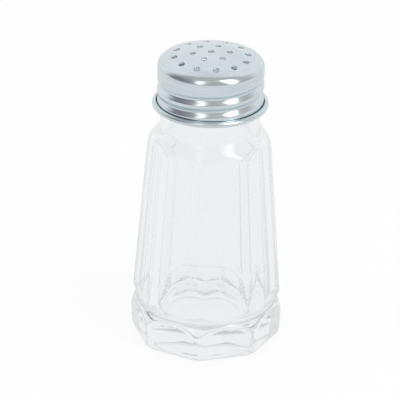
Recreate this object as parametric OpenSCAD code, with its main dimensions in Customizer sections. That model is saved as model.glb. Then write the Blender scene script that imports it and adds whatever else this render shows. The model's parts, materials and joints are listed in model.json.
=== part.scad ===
// Panelled glass salt shaker with a stamped screw cap.
// The jar is pressed from clear glass: a faceted foot, a tapering body with flat panels that run
// out in arches on a round shoulder, and a round neck. The cap is stamped from one steel sheet.
// The origin is the middle of the base, +Z points up and every size is in millimetres.

/* [Panels] */
// Number of flat panels around the jar
panel_count = 8; // [6:1:12]
// How far the sharp panel corners would stand proud of the rounded ones
corner_trim = 0.25; // [0.1:0.05:0.6]

/* [Foot] */
// Width of the foot across opposite corners
foot_across = 51.6; // [50:0.2:58]
// Height of the foot
foot_h = 13.6; // [11:0.2:18]
// Height of the rounded top of the foot, on which the facets run out in arches
foot_top_h = 5.4; // [4:0.2:7]
// How far the top of the foot reaches in under the waist
foot_top_in = 0.4; // [0.2:0.1:1]
// Lean of the foot facets, wider at the top, in degrees
foot_draft = 3; // [0:0.5:6]
// Rounding of the facets at the table
heel_r = 2.2; // [1:0.2:4]
// Rounding of the corners between the facets at the table
corner_heel_r = 3.2; // [1:0.2:4.5]
// Width of the hollow under the base
base_hollow_d = 36; // [20:1:38]
// Height of the hollow under the base
base_hollow_h = 1; // [0.3:0.1:4]

/* [Body] */
// Width of the body across opposite corners at the top of the foot
body_across_low = 51; // [47:0.1:51.5]
// Width of the body across opposite corners at the shoulder
body_across_high = 42.1; // [39:0.1:46]
// Height at which the panel corners run out on the shoulder
shoulder_h = 69.4; // [50:0.1:90]
// Rounding of the shoulder
shoulder_r = 5.25; // [3:0.25:7]
// Steepness of the shoulder's outward normal above level, in degrees
shoulder_slope = 37.5; // [30:0.5:55]
// Depth of the round waist above the foot, measured at the panel corners
waist_depth = 2; // [0.5:0.1:2.4]
// Height of the upright part of the waist
waist_h = 0.6; // [0.4:0.1:3]
// Rounding from the waist to the body
waist_r = 2.5; // [1:0.25:5]

/* [Neck] */
// Diameter of the plain glass finish under the cap
finish_d = 32.2; // [29:0.2:34]
// Radial thickness of the glass at the mouth
finish_wall = 2.5; // [1.8:0.1:3.5]
// How far the bare neck stands proud of the finish
neck_step = 0.5; // [0.1:0.05:0.8]
// Height of the bare neck between the shoulder and the cap
neck_bare = 7.3; // [3:0.1:15]
// Rounding of the hollow corner where the neck leaves the shoulder
neck_cove_r = 3; // [0.6:0.2:4]
// Rounding of the outer edge of the mouth
lip_r = 0.8; // [0.3:0.1:1.2]

/* [Hollow] */
// Thickness of the glass in the middle of a panel
wall = 2.8; // [2:0.1:3.4]
// Height of the floor inside the jar
floor_h = 10.6; // [6:0.2:20]
// Rounding between the floor and the wall inside
floor_r = 5.4; // [1:0.2:8]
// Rounding of the shoulder inside
inner_shoulder_r = 5; // [1.5:0.25:6]
// How far the inner shoulder lies under the outer one
inner_shoulder_drop = 0; // [0:0.25:3]

/* [Cap] */
// Overall height of the cap
cap_h = 19.4; // [16:0.1:24]
// Thickness of the steel sheet
sheet_t = 0.45; // [0.3:0.05:0.7]
// Rise of the perforated top towards its middle
dome_h = 2.3; // [0.6:0.1:2.8]
// Outer rounding between the top and the wall
edge_r = 2.8; // [1:0.1:3]
// Outer radius of the curled rim
curl_r = 1; // [0.8:0.05:1.4]
// Depth of the rolled grooves
groove_depth = 0.9; // [0.5:0.05:1.2]
// Height of a rolled groove on the face of the wall
groove_w = 3; // [2:0.1:3.4]
// Distance from one turn of the rolled groove to the next
groove_pitch = 4.4; // [3.8:0.1:5]
// Plain wall between the curled rim and the lowest groove
groove_margin = 1.2; // [0.2:0.1:1.6]
// Number of turns of the rolled groove
groove_count = 2; // [1:1:2]
// Turn of the cap about its axis, in degrees
cap_turn = -9; // [-180:1:180]

/* [Pour holes] */
// Diameter of a pour hole
hole_d = 2; // [1:0.1:3]
// Radial distance from one ring of holes to the next
hole_pitch = 6.15; // [4.5:0.05:6.3]
// Number of rings around the middle hole, each with six holes more than the one inside it
hole_rings = 2; // [1:1:2]

/* [Clearances] */
// Gap between the finish and the bottom of the rolled grooves
thread_gap = 0.35; // [0.2:0.05:0.8]
// Gap between the mouth and the underside of the cap
seat_gap = 0.2; // [0.1:0.05:0.5]

/* [Hidden] */
$fn = 96;

glass_tint = [0.86, 0.91, 0.93, 0.55];
steel_tint = [0.78, 0.82, 0.84];

// Overlap by which a cut runs past the face it opens
past = 1;
// Flats that make up a rounding on the straight facets of the foot
arc_steps = 6;

// Panel planes: distance from the axis to the middle of a flat
flat_share = cos(180 / panel_count);
foot_r = foot_across / 2;
foot_flat = (foot_r + corner_trim) * flat_share;
body_low_r = body_across_low / 2;
body_high_r = body_across_high / 2;
body_low_flat = (body_low_r + corner_trim) * flat_share;
body_high_flat = (body_high_r + corner_trim) * flat_share;
panel_lean = atan2(body_low_flat - body_high_flat, shoulder_h - foot_h);
cut_size = 2 * (shoulder_h + foot_across);

// Waist above the foot
waist_x = body_low_r - waist_depth;

// Rounded top of the foot, whose arc leaves the upright side and ends a little inside the waist
band_z = foot_h - foot_top_h;
foot_top_drop = foot_r - waist_x + foot_top_in;
foot_top_r = (foot_top_h ^ 2 + foot_top_drop ^ 2) / (2 * foot_top_drop);
foot_top_c = [foot_r - foot_top_r, band_z];
// The arc starts over its own centre, or where that lies past the axis, over the middle of the waist
foot_core_r = max(foot_top_c.x, waist_x / 2);

// Edge of a foot facet: arc of the heel, then a band that leans out
heel_c = [foot_flat - (band_z - heel_r) * tan(foot_draft) - heel_r / cos(foot_draft), heel_r];

// Neck and finish
finish_r = finish_d / 2;
neck_r = finish_r + neck_step;
bore_r = finish_r - finish_wall;

// Body line, from inside the foot to the shoulder, and the slope that leads on to the neck
body_top = [body_high_r, shoulder_h];
body_foot = body_top + ([body_low_r, foot_h] - body_top) * (shoulder_h - band_z) / (shoulder_h - foot_h);
neck_z = neck_start(arc_end(arc_centre(body_foot, body_top, shoulder_r), shoulder_r), neck_r);

// Cap wall: the grooves clear the finish, the wall lies one groove depth and one sheet further out
cap_r = finish_r + thread_gap + sheet_t + groove_depth;
rim_z = neck_z + neck_bare;
cap_z = rim_z + cap_h;
mouth_z = cap_z - dome_h - sheet_t - seat_gap;

// Domed top of the cap and the edge radius that touches dome and wall
edge_x = cap_r - edge_r;
dome_r = (edge_x ^ 2 + dome_h ^ 2) / (2 * dome_h);
dome_z = cap_z - dome_r;
edge_z = dome_z + sqrt((dome_r - edge_r) ^ 2 - edge_x ^ 2);

// Rolled grooves: arcs that sink groove_depth into the wall over a height of groove_w
groove_r = ((groove_w / 2) ^ 2 + groove_depth ^ 2) / (2 * groove_depth);
groove_x = cap_r + groove_r - groove_depth;
groove_z = rim_z + 2 * curl_r + groove_margin + groove_w / 2;
curl_x = cap_r - sheet_t + curl_r;

// Hollow inside the jar, one wall inside the middle of the panels
hollow_low_r = body_low_flat - wall;
hollow_high_r = body_high_flat - wall;
hollow_high_z = shoulder_h - inner_shoulder_drop;

// Points along an arc between two angles
function arc_points(centre, r, from, to) =
    [for (k = [0 : arc_steps]) let (a = from + (to - from) * k / arc_steps) centre + r * [cos(a), sin(a)]];

// Arc of radius r that touches the line from low to high at its upper end
function arc_centre(low, high, r) =
    let (lean = atan2(low.x - high.x, high.y - low.y))
    [high.x - r * cos(lean), high.y - r * sin(lean)];

// Upper end of that arc, where the straight slope begins
function arc_end(centre, r) = centre + r * [cos(shoulder_slope), sin(shoulder_slope)];

// Height at which the slope from that end meets an upright neck
function neck_start(end, neck) = end.y + (end.x - neck) / tan(shoulder_slope);

// Half section of a bottle: straight wall, rounded shoulder, slope and upright neck
module bottle_section(low, high, r, neck, top) {
    centre = arc_centre(low, high, r);
    end = arc_end(centre, r);
    start = neck_start(end, neck);
    polygon([[0, low.y], low, high, centre, end, [neck, start], [0, start]]);
    translate(centre)
        circle(r = r);
    translate([0, low.y])
        square([neck, top - low.y]);
}

// Hollow corner between the slope of the shoulder and the neck
module neck_cove_section() {
    cove_z = neck_z + neck_cove_r * (1 - cos(shoulder_slope)) / sin(shoulder_slope);
    cove_c = [neck_r + neck_cove_r, cove_z];
    difference() {
        polygon([[neck_r, neck_z], cove_c - neck_cove_r * [cos(shoulder_slope), sin(shoulder_slope)],
                 cove_c, [neck_r, cove_z]]);
        translate(cove_c)
            circle(r = neck_cove_r);
    }
}

// Finish under the cap, with the outer edge of the mouth rounded
module finish_section() {
    translate([0, neck_z])
        square([finish_r, mouth_z - lip_r - neck_z]);
    translate([0, neck_z])
        square([finish_r - lip_r, mouth_z - neck_z]);
    translate([finish_r - lip_r, mouth_z - lip_r])
        circle(r = lip_r);
}

// Body, shoulder and neck as a round blank, with the waist turned into it above the foot
module body_blank() {
    rotate_extrude()
        difference() {
            union() {
                bottle_section(body_foot, body_top, shoulder_r, neck_r, rim_z);
                neck_cove_section();
                finish_section();
            }
            translate([waist_x, band_z - past])
                square([foot_r, foot_top_h + waist_h + past]);
            translate([waist_x + waist_r, foot_h + waist_h])
                circle(r = waist_r);
        }
}

// Half section of the foot before it gets its facets: rounded heel, upright side and rounded top
module foot_section() {
    square([foot_r - corner_heel_r, band_z]);
    translate([foot_r - corner_heel_r, corner_heel_r])
        circle(r = corner_heel_r);
    translate([0, corner_heel_r])
        square([foot_r, band_z - corner_heel_r]);
    square([foot_core_r, foot_h]);
    intersection() {
        translate(foot_top_c)
            circle(r = foot_top_r);
        translate([foot_core_r, band_z])
            square([foot_r - foot_core_r, foot_top_h]);
    }
}

// Material outside the facets of the foot, each with a rounded heel and a leaning band
module facet_cuts() {
    heel_arc = arc_points(heel_c, heel_r, -90, -foot_draft);
    top_x = foot_flat + (foot_h + past - band_z) * tan(foot_draft);
    outline = concat([[heel_c.x, -past]], heel_arc,
                     [[top_x, foot_h + past], [foot_across, foot_h + past], [foot_across, -past]]);
    for (i = [0 : panel_count - 1])
        rotate([90, 0, i * 360 / panel_count])
            linear_extrude(height = 2 * foot_across, center = true)
                polygon(outline);
}

// Foot: a round blank with flat facets, which leaves its corners trimmed round
module foot() {
    difference() {
        rotate_extrude()
            foot_section();
        facet_cuts();
    }
}

// Material outside the flat panels of the body
module panel_cuts() {
    for (i = [0 : panel_count - 1])
        rotate([0, 0, i * 360 / panel_count])
            translate([body_low_flat, 0, foot_h])
                rotate([0, -panel_lean, 0])
                    translate([0, -cut_size / 2, -cut_size / 2])
                        cube(cut_size);
}

// Round hollow of the jar, from the rounded floor through the open mouth
module hollow() {
    rotate_extrude() {
        difference() {
            bottle_section([hollow_low_r, floor_h], [hollow_high_r, hollow_high_z],
                           inner_shoulder_r, bore_r, mouth_z + past);
            translate([hollow_low_r - floor_r, floor_h])
                square(floor_r + past);
        }
        translate([hollow_low_r - floor_r, floor_h])
            intersection() {
                translate([0, floor_r])
                    circle(r = floor_r);
                square([floor_r, floor_r + past]);
            }
    }
}

// Shallow dished hollow that leaves the jar standing on a ring
module base_hollow() {
    half = base_hollow_d / 2;
    dish_r = (half ^ 2 + base_hollow_h ^ 2) / (2 * base_hollow_h);
    rotate_extrude()
        intersection() {
            translate([0, base_hollow_h - dish_r])
                circle(r = dish_r, $fn = 10 * $fn);
            translate([0, -past])
                square([half + past, base_hollow_h + past]);
        }
}

module glass_jar() {
    color(glass_tint)
        difference() {
            union() {
                foot();
                difference() {
                    body_blank();
                    panel_cuts();
                }
            }
            hollow();
            base_hollow();
        }
}

// Half section of everything inside a skin that lies inset below the outer face of the cap
module cap_section(inset, low) {
    reach = dome_r + past;
    along = [edge_x, edge_z - dome_z] / (dome_r - edge_r);
    difference() {
        union() {
            intersection() {
                translate([0, dome_z])
                    circle(r = dome_r - inset);
                polygon([[0, dome_z], [0, dome_z] + reach * along, [0, dome_z + reach]]);
                translate([0, edge_z])
                    square([cap_r, cap_h]);
            }
            translate([edge_x, edge_z])
                circle(r = edge_r - inset);
            translate([0, low])
                square([cap_r - inset, edge_z - low]);
        }
        for (turn = [0 : groove_count - 1])
            translate([groove_x, groove_z + turn * groove_pitch])
                circle(r = groove_r + inset);
    }
}

// Half section of the rim: the sheet rolls outwards and up to an open curl
module curl_section() {
    translate([curl_x, rim_z + curl_r])
        difference() {
            circle(r = curl_r);
            circle(r = curl_r - sheet_t);
            translate([-curl_r, 0])
                square(curl_r);
        }
}

module pour_holes() {
    for (ring = [0 : hole_rings])
        for (i = [0 : max(0, 6 * ring - 1)])
            rotate([0, 0, cap_turn + i * 60 / max(1, ring)])
                translate([ring * hole_pitch, 0, edge_z])
                    cylinder(d = hole_d, h = cap_h);
}

module cap() {
    color(steel_tint)
        difference() {
            rotate_extrude() {
                difference() {
                    cap_section(0, rim_z + curl_r);
                    cap_section(sheet_t, rim_z);
                }
                curl_section();
            }
            pour_holes();
        }
}

glass_jar();
cap();
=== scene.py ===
# %% [markdown]
# # A panelled glass salt shaker
# The real shaker has two pieces. The jar is pressed from clear glass, with flat panels, a thick
# faceted foot and a screw thread at its mouth. The cap is stamped from one sheet of steel.
# The solids come in as a fixed frame, in metres, with the middle of the base at the origin.
# Everything below is modelled at the same place, so nothing has to be fitted afterwards.

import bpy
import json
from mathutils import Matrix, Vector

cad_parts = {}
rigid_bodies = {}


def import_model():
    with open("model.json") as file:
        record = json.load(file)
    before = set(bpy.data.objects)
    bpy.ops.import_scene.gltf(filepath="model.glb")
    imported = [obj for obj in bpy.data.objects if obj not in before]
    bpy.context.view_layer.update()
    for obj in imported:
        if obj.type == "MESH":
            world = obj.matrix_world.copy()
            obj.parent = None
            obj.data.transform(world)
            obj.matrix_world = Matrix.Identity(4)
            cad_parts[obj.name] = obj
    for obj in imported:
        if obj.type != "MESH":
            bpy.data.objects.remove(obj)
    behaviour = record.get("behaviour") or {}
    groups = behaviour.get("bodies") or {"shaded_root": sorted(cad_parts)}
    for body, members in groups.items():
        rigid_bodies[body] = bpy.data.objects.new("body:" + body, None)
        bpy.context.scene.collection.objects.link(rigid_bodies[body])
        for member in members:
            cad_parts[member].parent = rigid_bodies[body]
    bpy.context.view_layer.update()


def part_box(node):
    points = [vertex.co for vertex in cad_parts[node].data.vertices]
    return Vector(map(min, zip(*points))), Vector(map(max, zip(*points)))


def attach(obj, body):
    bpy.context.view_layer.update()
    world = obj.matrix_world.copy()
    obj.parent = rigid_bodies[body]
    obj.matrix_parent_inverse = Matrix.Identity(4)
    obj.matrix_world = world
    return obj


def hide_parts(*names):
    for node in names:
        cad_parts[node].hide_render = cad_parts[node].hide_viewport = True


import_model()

# %% [markdown]
# ## Units and light paths
# The frame is in metres and the shaker was measured in millimetres, so one factor links the two. The
# Standard view shows a colour as it is written. Light that enters thick glass is thrown to and fro many
# times before it gets out, and a path that is cut off too soon comes out black. A high limit on the
# bounces keeps the corners of the jar clear, and costs little, because few paths get that far.

# %% Modules, units and bounces
import json
import math

import bmesh
import bpy
from mathutils import Matrix, Vector

MM = 0.001
GLASS_BOUNCES = 96

scene = bpy.context.scene
scene.view_settings.view_transform = "Standard"
scene.cycles.use_denoising = True
scene.cycles.max_bounces = GLASS_BOUNCES
scene.cycles.transmission_bounces = GLASS_BOUNCES
scene.cycles.glossy_bounces = GLASS_BOUNCES
print("view:", scene.view_settings.view_transform, "bounces:", scene.cycles.max_bounces)

# %% [markdown]
# ## Camera
# The photograph looks down on the shaker from about a metre away, through a long lens. A fit of the
# outline gave the place, the pitch and a small roll. A camera could also be aimed with a constraint,
# but here it is turned by plain steps, as on a tripod: swing around the table, tilt down, then roll.

# %% Camera
CAMERA_AZIMUTH = math.radians(-17)
CAMERA_DISTANCE = 1.0
CAMERA_HEIGHT = 0.5283
CAMERA_PITCH = math.radians(25.615)
CAMERA_PAN = math.radians(0.157)
CAMERA_ROLL = math.radians(1.184)
SENSOR_MM = 36
PHOTO_PIXELS = 400
FOCAL_PIXELS = 3294

towards_camera = Vector((math.sin(CAMERA_AZIMUTH), -math.cos(CAMERA_AZIMUTH), 0))
camera = bpy.data.objects.new("camera", bpy.data.cameras.new("camera"))
camera.data.sensor_width = SENSOR_MM
camera.data.lens = FOCAL_PIXELS / PHOTO_PIXELS * SENSOR_MM
camera.matrix_world = (
    Matrix.Translation(towards_camera * CAMERA_DISTANCE + Vector((0, 0, CAMERA_HEIGHT)))
    @ Matrix.Rotation(CAMERA_AZIMUTH + CAMERA_PAN, 4, "Z")
    @ Matrix.Rotation(math.radians(90) - CAMERA_PITCH, 4, "X")
    @ Matrix.Rotation(CAMERA_ROLL, 4, "Z")
)
scene.collection.objects.link(camera)
scene.camera = camera
print("camera at", tuple(camera.location), "lens", round(camera.data.lens, 1), "mm")

# %% [markdown]
# ## Tools for colours and nodes
# A colour is easiest to pick as the sRGB hex value that a picture editor shows, but a shader works in
# linear light, so one function converts it. A second function adds a node: its settings, and for
# each socket either a value or the output that feeds it. With these two, a material reads like a list.
# A Mix node has sockets for several kinds of data under the same names, so its colours go by number: 6
# and 7 are mixed, by the factor at 0, and come out at 2.


# %% Colour and node helpers
def from_hex(text):
    """Linear RGBA of an sRGB hex colour."""
    parts = [int(text[i:i + 2], 16) / 255 for i in (1, 3, 5)]
    return [c / 12.92 if c <= 0.04045 else ((c + 0.055) / 1.055) ** 2.4 for c in parts] + [1]


def add_node(tree, kind, inputs=(), **settings):
    """Add a shader node with its settings, and set or link each input by name or number."""
    node = tree.nodes.new("ShaderNode" + kind)
    for name, value in settings.items():
        setattr(node, name, value)
    for name, value in dict(inputs).items():
        if isinstance(value, bpy.types.NodeSocket):
            tree.links.new(value, node.inputs[name])
        else:
            node.inputs[name].default_value = value
    return node


WHITE = from_hex("#FFFFFF")
print("mid grey #808080 in linear light:", round(from_hex("#808080")[0], 3))

# %% [markdown]
# ## Studio
# Glass and polished steel have hardly any colour of their own: they show the room. So the studio is
# made like a real one for glassware. A pale sweep lies under and behind the shaker, the room in front
# is dimmer, and two softboxes stand left and right of the lens. Walls could be modelled, but they would
# get in the way of other views, so the sky takes the place of the sweep and the room. It is painted by
# three directions: how far a ray looks behind the shaker, how far to the right, and how high. Each is a
# number from -1 to 1, and 1 means straight that way.

# %% World and its directions
SWEEP_FADE = (-0.1, 0.45)

to_the_right = Vector((math.cos(CAMERA_AZIMUTH), math.sin(CAMERA_AZIMUTH), 0))
world = bpy.data.worlds.new("studio")
scene.world = world
world.use_nodes = True
sky = world.node_tree
sky.nodes.clear()
direction = add_node(sky, "TexCoord").outputs["Generated"]
behind = add_node(sky, "VectorMath", {0: direction, 1: -towards_camera}, operation="DOT_PRODUCT")
across = add_node(sky, "VectorMath", {0: direction, 1: to_the_right}, operation="DOT_PRODUCT")
height = add_node(sky, "SeparateXYZ", {0: direction}).outputs["Z"]
back = add_node(sky, "MapRange", {"Value": behind.outputs["Value"], "From Min": SWEEP_FADE[0],
                                  "From Max": SWEEP_FADE[1]}, interpolation_type="SMOOTHSTEP")
print("the sweep fades in over", SWEEP_FADE, "of the way behind")

# %% [markdown]
# ### What the steel mirrors
# The cap is a curved mirror. Its dome mirrors the sweep behind the shaker, which ends overhead, and its
# upright wall mirrors the table in front. The edge of the dome and the flanks of the grooves look
# between the two, into the room, and come out darker. These bands are darkest at their left end in the
# photograph, so the room is darker on the left.

# %% Sweep and room on steel
SWEEP_ON_STEEL = 0.93
SWEEP_TOP = 0.87
SWEEP_TOP_BLUR = 0.02
ROOM_LEFT = "#86888C"
ROOM_RIGHT = "#C3C2BF"
ROOM_FADE = (-0.85, -0.3)

low = add_node(sky, "MapRange", {"Value": height, "From Min": SWEEP_TOP + SWEEP_TOP_BLUR,
                                 "From Max": SWEEP_TOP - SWEEP_TOP_BLUR}, interpolation_type="SMOOTHSTEP")
sweep = add_node(sky, "Math", {0: back.outputs[0], 1: low.outputs[0]}, operation="MULTIPLY")
side = add_node(sky, "MapRange", {"Value": across.outputs["Value"], "From Min": ROOM_FADE[0],
                                  "From Max": ROOM_FADE[1]})
room = add_node(sky, "Mix", {0: side.outputs[0], 6: from_hex(ROOM_LEFT), 7: from_hex(ROOM_RIGHT)},
                data_type="RGBA")
on_steel = add_node(sky, "Mix", {0: sweep.outputs[0], 6: room.outputs[2], 7: [SWEEP_ON_STEEL] * 3 + [1]},
                    data_type="RGBA")
print("steel mirrors a sweep up to", round(math.degrees(math.asin(SWEEP_TOP))), "degrees")

# %% [markdown]
# ### What shows through the glass
# Clear glass is drawn by what lies behind it. The top of each foot facet bends the view to a low band of
# the sweep, so that band is darker, as a dark card behind glassware would make it, and this gives the foot
# its grey arches. Above and below the band the sweep is pale, and so is the body of the jar.

# %% Sweep and room through glass
SWEEP_THROUGH_GLASS = 0.90
HORIZON_THROUGH_GLASS = 0.80
STRIP_THROUGH_GLASS = 0.58
STRIP_FROM = 0.18
STRIP_DARK = 0.28
STRIP_TO = 0.37
ROOM_THROUGH_GLASS = 0.75

strip = add_node(sky, "MapRange", {"Value": height, "From Min": STRIP_FROM, "From Max": STRIP_DARK,
                                   "To Min": HORIZON_THROUGH_GLASS, "To Max": STRIP_THROUGH_GLASS},
                 interpolation_type="SMOOTHSTEP")
rising = add_node(sky, "MapRange", {"Value": height, "From Min": STRIP_DARK, "From Max": STRIP_TO,
                                    "To Min": strip.outputs[0], "To Max": SWEEP_THROUGH_GLASS},
                  interpolation_type="SMOOTHSTEP")
in_glass = add_node(sky, "MapRange", {"Value": back.outputs[0], "To Min": ROOM_THROUGH_GLASS,
                                      "To Max": rising.outputs[0]})
print("dark strip at", round(math.degrees(math.asin(STRIP_DARK))), "degrees above the table")

# %% [markdown]
# ### One sky for each kind of ray
# The Light Path node tells how a ray got to the sky. The camera sees plain white of strength one, steel
# and glass see what was painted for them, and all other rays bring even daylight. So the background is
# white without more light on the shaker, and colours render about as they are written.

# %% Sky by kind of ray
SWEEP_WHITE = 1.0
DAYLIGHT = 0.85

shown = add_node(sky, "Background", {"Color": WHITE, "Strength": DAYLIGHT})
mirrored = add_node(sky, "Background", {"Color": on_steel.outputs[2]})
through = add_node(sky, "Background", {"Color": WHITE, "Strength": in_glass.outputs[0]})
backdrop = add_node(sky, "Background", {"Color": WHITE, "Strength": SWEEP_WHITE})
ray = add_node(sky, "LightPath").outputs
for kind, view in (("Is Glossy Ray", mirrored), ("Is Transmission Ray", through),
                   ("Is Camera Ray", backdrop)):
    shown = add_node(sky, "MixShader", {0: ray[kind], 1: shown.outputs[0], 2: view.outputs[0]})
add_node(sky, "OutputWorld", {"Surface": shown.outputs[0]})
print("world:", len(sky.nodes), "nodes")

# %% [markdown]
# ### Table
# The table is one sheet of white paper. Paper that is only lit never comes out quite white, and more
# light would wash out the shaker. So for what the camera sees, directly or in the glass and steel, most
# of its colour is a plain white of strength one, and the rest is lit and keeps the shadow.

# %% Paper
TABLE_GLOW = 0.90
TABLE_ON_STEEL = 0.87
TABLE_THROUGH_GLASS = 0.90


def new_material(name):
    """An empty node material, its node tree and its output node."""
    material = bpy.data.materials.new(name)
    material.use_nodes = True
    material.node_tree.nodes.clear()
    return material, material.node_tree, add_node(material.node_tree, "OutputMaterial")


table_paper, tree, output = new_material("white paper sweep")
ray = add_node(tree, "LightPath").outputs
paper = add_node(tree, "BsdfDiffuse", {"Color": from_hex("#F7F7F7")})
for kind, level, share in (("Is Glossy Ray", TABLE_ON_STEEL, 1.0),
                           ("Is Transmission Ray", TABLE_THROUGH_GLASS, 1.0),
                           ("Is Camera Ray", SWEEP_WHITE, TABLE_GLOW)):
    glow = add_node(tree, "Emission", {"Color": WHITE, "Strength": level})
    part = add_node(tree, "Math", {0: ray[kind], 1: share}, operation="MULTIPLY")
    paper = add_node(tree, "MixShader", {0: part.outputs[0], 1: paper.outputs[0], 2: glow.outputs[0]})
tree.links.new(paper.outputs[0], output.inputs["Surface"])
print("paper keeps", round(1 - TABLE_GLOW, 2), "of the shadow")

# %% [markdown]
# ### The sheet
# A flat sheet needs no more than one square face, wide enough to fill every view. It lies a hair below
# the ring of the foot, because two faces at one height would fight over which is seen. The function that
# makes an object from a finished bmesh serves the jar and the cap as well.

# %% Table
TABLE_SIZE = 3.0
TABLE_DROP = 0.02 * MM


def mesh_object(name, bm, material):
    """Turn a finished bmesh into an object at the origin, smooth shaded."""
    mesh = bpy.data.meshes.new(name)
    for face in bm.faces:
        face.smooth = True
    bm.to_mesh(mesh)
    bm.free()
    mesh.materials.append(material)
    made = bpy.data.objects.new(name, mesh)
    scene.collection.objects.link(made)
    print(name, "has", len(mesh.vertices), "points and", len(mesh.polygons), "faces")
    return made


bm = bmesh.new()
bmesh.ops.create_grid(bm, x_segments=1, y_segments=1, size=TABLE_SIZE,
                      matrix=Matrix.Translation((0, 0, -TABLE_DROP)))
table = mesh_object("table", bm, table_paper)

# %% [markdown]
# ### Softboxes
# A softbox is a lamp behind a sheet of cloth, bright in the middle and fading to its edges. The
# highlights on the cap and the shoulder of the jar gave their places and their heights. An area light
# with a fade in its nodes does this, and it stays hidden from rays through the glass, which would
# otherwise show it as a hard white patch. Its power is worked out from how bright the cloth is, so a
# softbox can be resized without a change of tone.

# %% Softboxes
SOFTBOX_RANGE = 1.2
# Share of the width and of the height over which the light fades towards an edge
SOFTBOX_EDGES = (0.5, 0.4)


def softbox(name, swing, elevation, width, tall, radiance):
    """A rectangular light that faces the rim of the cap, swung to the right from the camera's side."""
    aim = Vector((0, 0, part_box("cap")[0].z))
    away = Matrix.Rotation(math.radians(swing), 3, "Z") @ towards_camera
    away = away * math.cos(math.radians(elevation)) + Vector((0, 0, math.sin(math.radians(elevation))))
    lamp = bpy.data.lights.new(name, "AREA")
    lamp.shape = "RECTANGLE"
    lamp.size = width
    lamp.size_y = tall
    lamp.energy = radiance * math.pi * width * tall
    lamp.use_nodes = True
    tree = lamp.node_tree
    tree.nodes.clear()
    place = add_node(tree, "SeparateXYZ", {0: add_node(tree, "NewGeometry").outputs["Parametric"]})
    fade = 1.0
    for axis, edge in enumerate(SOFTBOX_EDGES):
        inward = add_node(tree, "Math", {0: place.outputs[axis], 1: 0.5}, operation="PINGPONG")
        soft = add_node(tree, "MapRange", {"Value": inward.outputs[0], "From Max": edge},
                        interpolation_type="SMOOTHSTEP")
        fade = add_node(tree, "Math", {0: fade, 1: soft.outputs[0]}, operation="MULTIPLY").outputs[0]
    lit = add_node(tree, "Emission", {"Color": WHITE, "Strength": fade})
    add_node(tree, "OutputLight", {"Surface": lit.outputs[0]})
    made = bpy.data.objects.new(name, lamp)
    facing = away.to_track_quat("Z", "Y").to_matrix().to_4x4()
    made.matrix_world = Matrix.Translation(aim + away * SOFTBOX_RANGE) @ facing
    made.visible_transmission = False
    scene.collection.objects.link(made)
    print(name, "at", tuple(round(c, 2) for c in made.location), "power", round(lamp.energy, 1), "W")


softbox("left softbox", swing=-24, elevation=30, width=0.60, tall=1.50, radiance=1.4)
softbox("right softbox", swing=48, elevation=36, width=0.66, tall=1.90, radiance=4.0)

# %% [markdown]
# ## Outlines to turn
# Both pieces are round forms at heart. A half outline of radius and height, in millimetres, is spun
# around the axis, as on a lathe. Round stretches of an outline are arcs, given by their centre, their
# radius and two angles. One eighth is spun first and then copied around, so all panels come out alike.

# %% Outline helpers
SECTORS = 8
WELD = 0.001 * MM


def arc(centre, radius, start, end, steps):
    """Points along an arc in the outline's plane, angles in degrees from straight out."""
    angles = [math.radians(start + (end - start) * i / steps) for i in range(steps + 1)]
    return [(centre[0] + radius * math.cos(a), centre[1] + radius * math.sin(a)) for a in angles]


def line(start, end, steps):
    """Points along a straight stretch, without its first one."""
    return [tuple(a + (b - a) * i / steps for a, b in zip(start, end)) for i in range(1, steps + 1)]


def turned(outline, steps):
    """Spin an outline into one eighth of a turn, copy that sector around the axis and weld it."""
    bm = bmesh.new()
    sector = math.tau / SECTORS
    chain = [bm.verts.new((radius * MM, 0, height * MM)) for radius, height in outline]
    edges = [bm.edges.new(pair) for pair in zip(chain, chain[1:])]
    bmesh.ops.spin(bm, geom=chain + edges, axis=(0, 0, 1), angle=sector, steps=steps // SECTORS)
    bmesh.ops.spin(bm, geom=bm.verts[:] + bm.edges[:] + bm.faces[:], axis=(0, 0, 1),
                   angle=math.tau - sector, steps=SECTORS - 1, use_duplicate=True)
    bmesh.ops.remove_doubles(bm, verts=bm.verts, dist=WELD)
    return bm


print("a quarter arc of 2 mm:", [tuple(round(c, 2) for c in p) for p in arc((0, 0), 2, 0, 90, 2)])

# %% [markdown]
# ## Screw thread
# The thread is a helix: it climbs one pitch for each turn and fades in and out over part of a turn.
# The glass has a ridge along it and the steel a rolled groove, half a pitch lower, so one function
# serves both. It returns how strong the ridge or groove is at an angle and a height. A Screw modifier
# could sweep a thread too, but then it would have to be joined to the wall.

# %% Thread
PITCH = 4.4
GROOVE_FRONT_Z = 88.6
# Turns are counted from the side that the photograph shows in front
THREAD_START = math.degrees(CAMERA_AZIMUTH) - 90


def helix(angle, z, low_z, width, run, fade):
    """Strength, 0 to 1, of a thread that passes low_z at the front, over a run of angles in degrees."""
    turned_by = (math.degrees(angle) - THREAD_START) % 360
    best = 0.0
    for lap in (-1, 0, 1):
        total = turned_by + 360 * lap
        off = (z - low_z - PITCH * total / 360) / (width / 2)
        if run[0] < total < run[1] and abs(off) < 1:
            ends = min(1, (total - run[0]) / fade, (run[1] - total) / fade)
            best = max(best, (0.5 + 0.5 * math.cos(math.pi * off)) * ends * ends * (3 - 2 * ends))
    return best


print("the thread climbs", PITCH, "mm a turn")

# %% [markdown]
# ## Glass jar
# The mould gives the jar flat panels, but its edges come out soft, because the hot skin of the glass
# rounds them off. Cutting planes and bevelling would leave hard strips, so a round blank is turned
# first, and each of its points is then drawn in to where the panel at its angle lies, with a rounded
# minimum where panel and blank meet. The arches at the shoulder and the foot come out by themselves.
# The sizes come first, in millimetres. The foot is a thick faceted disc with a rounded heel, and a
# shallow dish under it leaves a ring to stand on.

# %% Sizes of the foot
PANELS = 8
FLAT_SHARE = math.cos(math.pi / PANELS)
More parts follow.
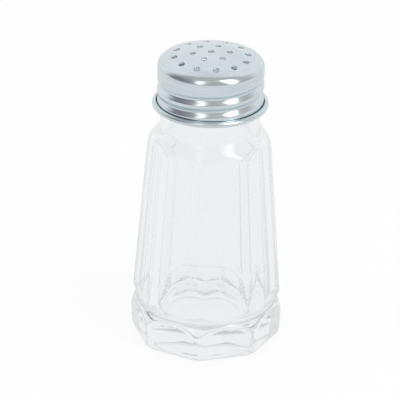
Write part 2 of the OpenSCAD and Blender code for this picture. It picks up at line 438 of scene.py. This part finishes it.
# The sharp corners of the panels would stand this far outside the round blank, which trims them
CORNER_TRIM = 0.25
FOOT_R = 25.8
FOOT_H = 13.6
BAND_Z = 8.2
FOOT_TOP_IN = 0.4
FOOT_DRAFT = math.radians(3.0)
HEEL_R = 2.2
CORNER_HEEL_R = 3.2
BASE_HOLLOW_R = 18.0
BASE_HOLLOW_H = 1.0

foot_flat = (FOOT_R + CORNER_TRIM) * FLAT_SHARE
ring_r = foot_flat - (BAND_Z - HEEL_R) * math.tan(FOOT_DRAFT) - HEEL_R / math.cos(FOOT_DRAFT)
print("foot facets stand", round(foot_flat, 2), "mm from the axis, the ring ends at", round(ring_r, 2))

# %% [markdown]
# ### Body and mouth
# The body tapers from the foot to a rounded shoulder, and a round waist parts it from the foot. The
# neck carries the threaded finish that the cap covers, so its heights follow the solids of the frame.

# %% Sizes of the body and the mouth
BODY_LOW_R = 25.5
BODY_HIGH_R = 21.05
SHOULDER_Z = 69.4
SHOULDER_R = 5.25
SHOULDER_END = 37.5
WAIST_DEPTH = 2.0
WAIST_TOP = FOOT_H + 0.6
WAIST_H = 3.4
FINISH_R = 16.1
NECK_R = 16.6
COVE_R = 3.0
LIP_R = 0.8
MOUTH_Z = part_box("glass_jar")[1].z / MM
RIM_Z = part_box("cap")[0].z / MM

body_low_flat = (BODY_LOW_R + CORNER_TRIM) * FLAT_SHARE
body_high_flat = (BODY_HIGH_R + CORNER_TRIM) * FLAT_SHARE
panel_slope = (body_low_flat - body_high_flat) / (SHOULDER_Z - FOOT_H)
body_slope = (BODY_LOW_R - BODY_HIGH_R) / (SHOULDER_Z - FOOT_H)
waist_x = BODY_LOW_R - WAIST_DEPTH
print("panels stand", round(body_low_flat, 2), "to", round(body_high_flat, 2), "mm from the axis")

# %% [markdown]
# ### Outline of the foot
# The outline runs from the middle of the dish over the ring and up the side. The side is drawn upright,
# because the pressing moves its points anyway. What counts is how close the rows lie: they are
# closest at the heel and at the crease where the foot meets the waist, since both are tight bends.

# %% Outline of the foot
HEEL_TOP = 6.0
HEEL_ROWS = 16
DISH_ROWS = 10
RING_ROWS = 8
ROW = 0.3
CREASE_FROM = 11.5
CREASE_TOP = 18.0
CREASE_ROW = 0.16

dish_r = (BASE_HOLLOW_R ** 2 + BASE_HOLLOW_H ** 2) / (2 * BASE_HOLLOW_H)
dish_turn = math.degrees(math.asin(BASE_HOLLOW_R / dish_r))
foot_outline = arc((0, BASE_HOLLOW_H - dish_r), dish_r, 90, 90 - dish_turn, DISH_ROWS)
foot_outline += line(foot_outline[-1], (ring_r, 0), RING_ROWS)
foot_outline += [(FOOT_R, HEEL_TOP * (i / HEEL_ROWS) ** 2) for i in range(1, HEEL_ROWS + 1)]
for z, row in ((CREASE_FROM, ROW), (CREASE_TOP, CREASE_ROW)):
    last_z = foot_outline[-1][1]
    foot_outline += line((FOOT_R, last_z), (FOOT_R, z), round((z - last_z) / row))
print("outline of the foot:", len(foot_outline), "points up to", round(foot_outline[-1][1], 2), "mm")

# %% [markdown]
# ### Outline of the body and the mouth
# Above the crease the outline follows the real section: the leaning wall, the rounded shoulder, a
# straight slope, a cove into the neck, the finish and the lip. The wall has few rows where the panels
# are flat, and more near the shoulder, where the arches are cut.

# %% Outline of the body and the mouth
SHOULDER_ROWS_FROM = 60.0
WALL_ROWS = (8, 20)
SHOULDER_ROWS = 14
COVE_ROWS = 10
SLOPE_ROWS = 8
NECK_ROWS = 4
NECK_STEP_H = 1.0
THREAD_ROW = 0.45
LIP_ROWS = 6


def shoulder(low, slope_angle, high, radius, neck, steps):
    """Rounded shoulder that leaves a leaning wall, and the point where its slope meets the neck."""
    lean = math.atan2(low[0] - high[0], high[1] - low[1])
    centre = (high[0] - radius * math.cos(lean), high[1] - radius * math.sin(lean))
    bend = arc(centre, radius, math.degrees(lean), slope_angle, steps)
    meet = bend[-1][1] + (bend[-1][0] - neck) / math.tan(math.radians(slope_angle))
    return bend, (neck, meet)


wall_low = (BODY_LOW_R - (CREASE_TOP - FOOT_H) * body_slope, CREASE_TOP)
wall_mid = (BODY_HIGH_R + (SHOULDER_Z - SHOULDER_ROWS_FROM) * body_slope, SHOULDER_ROWS_FROM)
wall_high = (BODY_HIGH_R, SHOULDER_Z)
bend, neck_foot = shoulder((BODY_LOW_R, FOOT_H), SHOULDER_END, wall_high, SHOULDER_R, NECK_R, SHOULDER_ROWS)
cove_top = neck_foot[1] + COVE_R * math.tan(math.radians(SHOULDER_END) / 2)
cove = arc((NECK_R + COVE_R, cove_top), COVE_R, 180 + SHOULDER_END, 180, COVE_ROWS)
lip = arc((FINISH_R - LIP_R, MOUTH_Z - LIP_R), LIP_R, 0, 90, LIP_ROWS)
finish_low = (FINISH_R, RIM_Z + NECK_STEP_H)

body_outline = line(wall_low, wall_mid, WALL_ROWS[0]) + line(wall_mid, wall_high, WALL_ROWS[1])
body_outline += bend[1:] + line(bend[-1], cove[0], SLOPE_ROWS) + cove[1:]
body_outline += line((NECK_R, cove_top), (NECK_R, RIM_Z), NECK_ROWS)
body_outline += line((NECK_R, RIM_Z), finish_low, NECK_ROWS)
body_outline += line(finish_low, lip[0], round((lip[0][1] - RIM_Z) / THREAD_ROW)) + lip[1:]
print("outline of the body:", len(body_outline), "points, neck from", round(neck_foot[1], 2), "mm")

# %% [markdown]
# ### Outline of the hollow
# The plunger that presses the jar is round, so the hollow is too: a bore, a shoulder that follows the
# outer one, a leaning wall and a floor with a wide radius at its corner. The wall is thinnest in the
# middle of a panel and thick at the corners, which is why the corners show as bright and dark lines.

# %% Outline of the hollow
BORE_R = 13.6
WALL = 2.8
FLOOR_Z = 10.6
FLOOR_CORNER_R = 5.4
INNER_SHOULDER_R = 5.0
BORE_ROWS = 6
INNER_WALL_ROWS = 8
INNER_BEND_ROWS = 10
FLOOR_ROWS = 6

hollow_low = (body_low_flat - WALL, FLOOR_Z)
hollow_high = (body_high_flat - WALL, SHOULDER_Z)
mouth_edge = arc((BORE_R + LIP_R, MOUTH_Z - LIP_R), LIP_R, 90, 180, LIP_ROWS)
inner_bend, bore_foot = shoulder(hollow_low, SHOULDER_END, hollow_high, INNER_SHOULDER_R, BORE_R,
                                 INNER_BEND_ROWS)
corner = (hollow_low[0] - FLOOR_CORNER_R, FLOOR_Z + FLOOR_CORNER_R)
floor_bend = arc(corner, FLOOR_CORNER_R, 0, -90, INNER_BEND_ROWS)

hollow_outline = [lip[-1]] + mouth_edge + line(mouth_edge[-1], bore_foot, BORE_ROWS) + inner_bend[::-1]
hollow_outline += line(inner_bend[0], (hollow_low[0], corner[1]), INNER_WALL_ROWS)
hollow_outline += floor_bend[1:] + line((corner[0], FLOOR_Z), (0, FLOOR_Z), FLOOR_ROWS)
print("outline of the hollow:", len(hollow_outline), "points")

# %% [markdown]
# ### Panels with soft corners
# Seen from above, the jar is an octagon whose corners are rounded by a fillet. The first function gives
# the distance from the axis to that line at any angle. Two more blend forms: the smaller of two distances
# is where one form cuts the other, and a rounded smaller one gives the cut a soft edge.


# %% Panel and soft cut
def octagon(flat, angle, fillet):
    """Distance from the axis to a panel, or to the rounded corner between two of them."""
    half = math.pi / PANELS
    off = abs((angle + half) % (2 * half) - half)
    inner = flat - fillet
    if flat * math.tan(off) < inner * math.tan(half):
        return flat / math.cos(off)
    hub = inner / FLAT_SHARE
    return hub * math.cos(half - off) + math.sqrt(fillet ** 2 - (hub * math.sin(half - off)) ** 2)


def soft_min(a, b, reach):
    """The smaller of two values, rounded off where they lie closer than reach."""
    near = max(reach - abs(a - b), 0) / reach
    return min(a, b) - near * near * reach / 4


def soft_max(a, b, reach):
    """The larger of two values, rounded off in the same way."""
    return -soft_min(-a, -b, reach)


print("corner of the foot:", round(octagon(foot_flat, math.pi / PANELS, 0), 2), "mm before its fillet")

# %% [markdown]
# ### Foot and waist
# The foot is the cut of two forms: a round blank with a rounded heel and top, and eight facets that lean
# out a little so that the pressing comes out of its mould. The body has a round waist above the foot. It
# swells in a cosine curve, because a plain arc would end in a ledge at the corners of the panels.

# %% Foot and waist
# A soft cut takes off up to a quarter of its reach, so the blank of the body is this much larger
BLANK_SPARE = 0.15

foot_top_drop = FOOT_R - waist_x + FOOT_TOP_IN
foot_top_r = ((FOOT_H - BAND_Z) ** 2 + foot_top_drop ** 2) / (2 * foot_top_drop)


def under_arc(centre, radius, over):
    """Radius of a round edge whose circle is centred at a radius, at a height over that centre."""
    return centre + math.sqrt(max(radius ** 2 - over ** 2, 0))


def foot_blank(z):
    """Round foot before it gets its facets."""
    if z < CORNER_HEEL_R:
        return under_arc(FOOT_R - CORNER_HEEL_R, CORNER_HEEL_R, CORNER_HEEL_R - z)
    return under_arc(FOOT_R - foot_top_r, foot_top_r, max(z - BAND_Z, 0))


def foot_facet(z):
    """Distance of a foot facet from the axis."""
    leaning = foot_flat + (z - BAND_Z) * math.tan(FOOT_DRAFT)
    return min(leaning, under_arc(ring_r, HEEL_R, HEEL_R - z)) if z < HEEL_R else leaning


def body_blank(z):
    """Round body near the foot, with the waist turned into it."""
    wall = BODY_LOW_R - (z - FOOT_H) * body_slope + BLANK_SPARE
    above = min(max((z - WAIST_TOP) / WAIST_H, 0), 1)
    return wall - (wall - waist_x) * (0.5 + 0.5 * math.cos(math.pi * above))


print("the foot's top is rounded by", round(foot_top_r, 2), "mm")

# %% [markdown]
# ### The press
# Each point of the turned blank goes to its place on the skin of the jar. Above the crease the panels cut
# the blank, below it foot and body meet, and under the foot the ring is stretched out to the heel. The
# thread on the finish is added last, as a ridge along the helix.

# %% Press a point
BODY_CORNER_R = 5.0
FOOT_CORNER_R = 4.0
ARCH_SOFT = 0.6
CREASE_SOFT = 0.2
THREAD_H = 0.95
THREAD_W = 3.0
THREAD_RUN = (-60, 470)
THREAD_FADE = 60


def jar_radius(radius, angle, z):
    """Where the skin of the jar lies for a point of the turned blank."""
    panel = octagon(body_low_flat - (z - FOOT_H) * panel_slope, angle, BODY_CORNER_R)
    if z > CREASE_TOP:
        return soft_min(radius + BLANK_SPARE, panel, ARCH_SOFT) if z < neck_foot[1] else radius
    if radius < BASE_HOLLOW_R:
        return radius
    foot = soft_min(foot_blank(z), octagon(foot_facet(z), angle, FOOT_CORNER_R), ARCH_SOFT)
    if radius > ring_r:
        body = soft_min(body_blank(z), panel, ARCH_SOFT)
        return soft_max(foot, body, CREASE_SOFT) if z > BAND_Z else foot
    share = (radius - BASE_HOLLOW_R) / (ring_r - BASE_HOLLOW_R)
    return BASE_HOLLOW_R + (foot - BASE_HOLLOW_R) * share


def press(point):
    """Move one point of the outer skin to its place on the pressed jar."""
    radius, z = math.hypot(point.x, point.y) / MM, point.z / MM
    angle = math.atan2(point.y, point.x)
    pressed = jar_radius(radius, angle, z)
    if z > RIM_Z:
        ridge_z = GROOVE_FRONT_Z + PITCH / 2
        pressed += THREAD_H * helix(angle, z, ridge_z, THREAD_W, THREAD_RUN, THREAD_FADE)
    point.x, point.y = pressed * MM * math.cos(angle), pressed * MM * math.sin(angle)


print("middle of a panel at 40 mm:", round(jar_radius(BODY_LOW_R, 0, 40), 2), "mm from the axis")

# %% [markdown]
# ### Build the jar
# The outer skin is turned and pressed, the hollow is turned as it is, and the two are welded along the lip
# into one closed wall. Each outer point also gets a number that says how close it lies to the root of
# the crease above the foot. The glass uses it to paint shade into the root of the crease, as a dark line.

# %% Build the jar
TURN_STEPS = 400
# Height and reach of the painted shade at the root of the crease
CREASE_SHADE_Z = 13.45
CREASE_SHADE_REACH = 0.45

bm = turned(foot_outline + body_outline, TURN_STEPS)
crease_shade = bm.verts.layers.float.new("crease_shade")
for vert in bm.verts:
    press(vert.co)
    # Painted shade: a weight that peaks at the root of the crease
    vert[crease_shade] = math.exp(-((vert.co.z / MM - CREASE_SHADE_Z) / CREASE_SHADE_REACH) ** 2)
hollow = turned(hollow_outline, TURN_STEPS)
hollow_mesh = bpy.data.meshes.new("hollow")
hollow.to_mesh(hollow_mesh)
hollow.free()
bm.from_mesh(hollow_mesh)
bpy.data.meshes.remove(hollow_mesh)
bmesh.ops.remove_doubles(bm, verts=bm.verts, dist=WELD)
bmesh.ops.recalc_face_normals(bm, faces=bm.faces)
open_edges = sum(not edge.is_manifold for edge in bm.edges)
print("jar: open edges", open_edges, "volume", round(bm.calc_volume() * 1e6, 1), "cm3")

# %% [markdown]
# ### Clear pressed glass
# Soda-lime glass has an index of refraction of 1.52 and takes a few percent of the light on its way. Its
# skin was polished by the fire, so it is as smooth as a mirror, with faint slow waves where the hot glass
# settled against the mould. A Glass node would do for the skin, but the Principled one is what other
# programs read. Shade is painted into the root of the crease: there the skin colour turns greyer, and only
# from outside, so that the painted shade does not show through the jar.

# %% Glass
GLASS_IOR = 1.52
# At this density, which counts per metre, the jar takes two or three percent of the light
GLASS_DENSITY = 1.0
GLASS_DEPTH = "#C0C0C4"
GLASS_SKIN = "#FBFDFE"
# Colour of the painted shade in the root of the crease
CREASE_SHADE_TONE = "#D6D9E0"
WAVE_MM = 9.0
WAVE_HEIGHT_MM = 0.05
WAVE_STRENGTH = 0.2

clear_glass, tree, output = new_material("clear pressed soda-lime glass")
place = add_node(tree, "TexCoord").outputs["Object"]
waves = add_node(tree, "TexNoise", {"Vector": place, "Scale": 1 / (WAVE_MM * MM), "Detail": 1.0,
                                    "Roughness": 0.4})
wavy = add_node(tree, "Bump", {"Strength": WAVE_STRENGTH, "Distance": WAVE_HEIGHT_MM * MM,
                               "Height": waves.outputs[0]})
# Painted shade in the crease, on the outer faces only
shaded_root = add_node(tree, "Attribute", attribute_name="crease_shade").outputs["Fac"]
from_inside = add_node(tree, "NewGeometry").outputs["Backfacing"]
shade = add_node(tree, "Math", {0: shaded_root, 1: from_inside}, operation="SUBTRACT", use_clamp=True)
skin_with_shade = add_node(tree, "Mix", {0: shade.outputs[0], 6: from_hex(GLASS_SKIN), 7: from_hex(CREASE_SHADE_TONE)},
                data_type="RGBA")
glass = add_node(tree, "BsdfPrincipled", {"Base Color": skin_with_shade.outputs[2], "Roughness": 0.0, "IOR": GLASS_IOR,
                                          "Transmission Weight": 1.0, "Normal": wavy.outputs[0]})
tree.links.new(glass.outputs[0], output.inputs["Surface"])
depth = add_node(tree, "VolumeAbsorption", {"Color": from_hex(GLASS_DEPTH), "Density": GLASS_DENSITY})
tree.links.new(depth.outputs[0], output.inputs["Volume"])

jar = mesh_object("pressed_glass_jar", bm, clear_glass)
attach(jar, "jar")
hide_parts("glass_jar")

# %% [markdown]
# ## Stamped cap
# The cap is one steel sheet: a shallow dome pierced with holes, a tight edge radius, a wall with the
# thread rolled into it, and a rim that curls outwards and up until it almost meets the wall. Only the
# outer face is turned, because Solidify gives the sheet its thickness afterwards, in one even layer.

# %% Outline of the cap
SHEET = 0.45
CURL_R = 1.0
# The curl leaves the wall at 180 degrees and turns by 288 before it almost meets the wall again
CURL_END = 468
DOME_H = 2.3
EDGE_R = 2.8
HOLE_R = 1.0
CAP_ROW = 0.25
EDGE_ROWS = 10
CURL_ROWS = 17
CAP_TOP_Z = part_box("cap")[1].z / MM
CAP_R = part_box("cap")[1].x / MM - 2 * CURL_R + SHEET

edge_x = CAP_R - EDGE_R
dome_r = (edge_x ** 2 + DOME_H ** 2) / (2 * DOME_H)
dome_z = CAP_TOP_Z - dome_r
edge_z = dome_z + math.sqrt((dome_r - EDGE_R) ** 2 - edge_x ** 2)
curl = (CAP_R - SHEET + CURL_R, RIM_Z + CURL_R)
dome_turn = math.degrees(math.asin(edge_x / (dome_r - EDGE_R)))
hole_turn = math.degrees(math.asin(HOLE_R / dome_r))
cap_outline = arc((0, dome_z), dome_r, 90 - hole_turn, 90 - dome_turn, round(edge_x / CAP_ROW))
cap_outline += arc((edge_x, edge_z), EDGE_R, 90 - dome_turn, 0, EDGE_ROWS)[1:]
cap_outline += line(cap_outline[-1], (CAP_R, curl[1]), round((edge_z - curl[1]) / CAP_ROW))
cap_outline += arc(curl, CURL_R - SHEET, 180, CURL_END, CURL_ROWS)[1:]
print("cap wall radius", round(CAP_R, 2), "mm, outline", len(cap_outline), "points")

# %% [markdown]
# ### Roll the thread
# On the real cap a roller presses the thread into the wall from outside. Here each point of the wall sinks
# in by the strength of the helix at its place, and the dome, the edge and the curl are left alone.

# %% Roll the thread
CAP_STEPS = 320
GROOVE_DEPTH = 0.9
GROOVE_W = 3.8
GROOVE_RUN = (-120, 480)
GROOVE_FADE = 70
WALL_SPARE = 0.01

bm = turned(cap_outline, CAP_STEPS)
rolled = 0
for vert in bm.verts:
    angle, z = math.atan2(vert.co.y, vert.co.x), vert.co.z / MM
    out = math.hypot(vert.co.x, vert.co.y) / MM
    if edge_x < out < CAP_R + WALL_SPARE and curl[1] < z < edge_z:
        out -= GROOVE_DEPTH * helix(angle, z, GROOVE_FRONT_Z, GROOVE_W, GROOVE_RUN, GROOVE_FADE)
        vert.co.x, vert.co.y = out * MM * math.cos(angle), out * MM * math.sin(angle)
        rolled += 1
print("wall points rolled:", rolled)

# %% [markdown]
# ### Pierce the holes
# A hole in the middle, six around it and twelve around those let the salt out. A boolean would leave
# long thin faces on the dome. So the faces inside each hole are deleted, the edge that is left is moved
# onto the circle, and the points near it sink a little, as a punch drags the sheet along.

# %% Pierce the holes
HOLE_PITCH = 6.15
HOLE_TURN = -9
HOLES_IN_RING = 6
HOLE_ROLL = 0.12
HOLE_ROLL_REACH = 0.5

hole_places = []
for ring_number in (1, 2):
    count = HOLES_IN_RING * ring_number
    for i in range(count):
        swing = math.radians(HOLE_TURN + i * 360 / count)
        hole_places.append(Vector((math.cos(swing), math.sin(swing))) * ring_number * HOLE_PITCH * MM)
hole_r = HOLE_R * MM
punched = [face for face in bm.faces if face.calc_center_median().z > edge_z * MM
           and any((face.calc_center_median().xy - place).length < hole_r for place in hole_places)]
bmesh.ops.delete(bm, geom=punched, context="FACES")
hole_places.append(Vector((0, 0)))
for vert in bm.verts:
    if vert.co.z > edge_z * MM:
        place = min(hole_places, key=lambda p: (vert.co.xy - p).length)
        away = vert.co.xy - place
        if vert.is_boundary:
            vert.co.xy = place + away.normalized() * hole_r
            away = vert.co.xy - place
        gap = max((away.length - hole_r) / (HOLE_ROLL_REACH * MM), 0)
        if gap < 1:
            vert.co.z -= HOLE_ROLL * MM * (1 - gap) ** 2
bmesh.ops.recalc_face_normals(bm, faces=bm.faces)
if max(bm.faces, key=lambda face: face.calc_center_median().z).normal.z < 0:
    bmesh.ops.reverse_faces(bm, faces=bm.faces)
print("cap: holes", len(hole_places), "faces", len(bm.faces))

# %% [markdown]
# ### Polished stamped steel
# Thin stainless sheet comes from the rolling mill bright, and steel mirrors about two thirds of the
# light. The stamping leaves rings on the dome and streaks around the wall. Real ones are finer than a
# tenth of a millimetre and would not show, so both are drawn several times as coarse. Slow smudges vary
# the blur of what the steel mirrors, and the inside, which is left unpolished, is duller.

# %% Steel
STREAK_MM = 0.7
STREAK_LONG_MM = 14.0
STREAK_DARK = "#C8D3D7"
STREAK_PALE = "#E1ECF0"
SMUDGE_MM = 6.0
GLOSS = (0.12, 0.22)
INSIDE_BLUR = 0.15
RING_MM = 0.9
RING_HEIGHT_MM = 0.02
RING_STRENGTH = 0.05
# A Wave texture of scale 1 repeats after this length
WAVE_TEXTURE_PERIOD = math.tau / 20

cap_steel, tree, output = new_material("polished stamped stainless steel")
place = add_node(tree, "TexCoord").outputs["Object"]
thin = (1 / STREAK_LONG_MM, 1 / STREAK_LONG_MM, 1 / STREAK_MM)
stretch = add_node(tree, "Mapping", {"Vector": place, "Scale": thin})
streaks = add_node(tree, "TexNoise", {"Vector": stretch.outputs[0], "Scale": 1 / MM, "Detail": 2.0})
tone = add_node(tree, "Mix", {0: streaks.outputs[0], 6: from_hex(STREAK_DARK), 7: from_hex(STREAK_PALE)},
                data_type="RGBA")
smudge = add_node(tree, "TexNoise", {"Vector": place, "Scale": 1 / (SMUDGE_MM * MM), "Detail": 3.0})
gloss = add_node(tree, "MapRange", {"Value": smudge.outputs[0], "To Min": GLOSS[0], "To Max": GLOSS[1]})
inside = add_node(tree, "Attribute", attribute_name="inside").outputs["Fac"]
blur = add_node(tree, "Math", {0: inside, 1: INSIDE_BLUR, 2: gloss.outputs[0]}, operation="MULTIPLY_ADD")
rings = add_node(tree, "TexWave", {"Vector": place, "Scale": WAVE_TEXTURE_PERIOD / (RING_MM * MM),
                                   "Distortion": 1.5, "Detail": 2.0},
                 wave_type="RINGS", rings_direction="Z")
marks = add_node(tree, "Bump", {"Strength": RING_STRENGTH, "Distance": RING_HEIGHT_MM * MM,
                                "Height": rings.outputs[1]})
steel = add_node(tree, "BsdfPrincipled", {"Base Color": tone.outputs[2], "Metallic": 1.0,
                                          "Roughness": blur.outputs[0], "Normal": marks.outputs[0]})
tree.links.new(steel.outputs[0], output.inputs["Surface"])
print("steel:", len(tree.nodes), "nodes")

# %% [markdown]
# ### Give the sheet its thickness
# Solidify lays an even second face behind the turned one and closes the edges of the holes and of the
# curl. It also marks the points of that inner face in a vertex group, which the steel reads to find
# the duller inside.

# %% Sheet
cap = mesh_object("stamped_cap", bm, cap_steel)
sheet = cap.modifiers.new("sheet thickness", "SOLIDIFY")
sheet.thickness = SHEET * MM
sheet.offset = -1
sheet.use_even_offset = True
sheet.shell_vertex_group = cap.vertex_groups.new(name="inside").name
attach(cap, "cap")
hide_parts("cap")
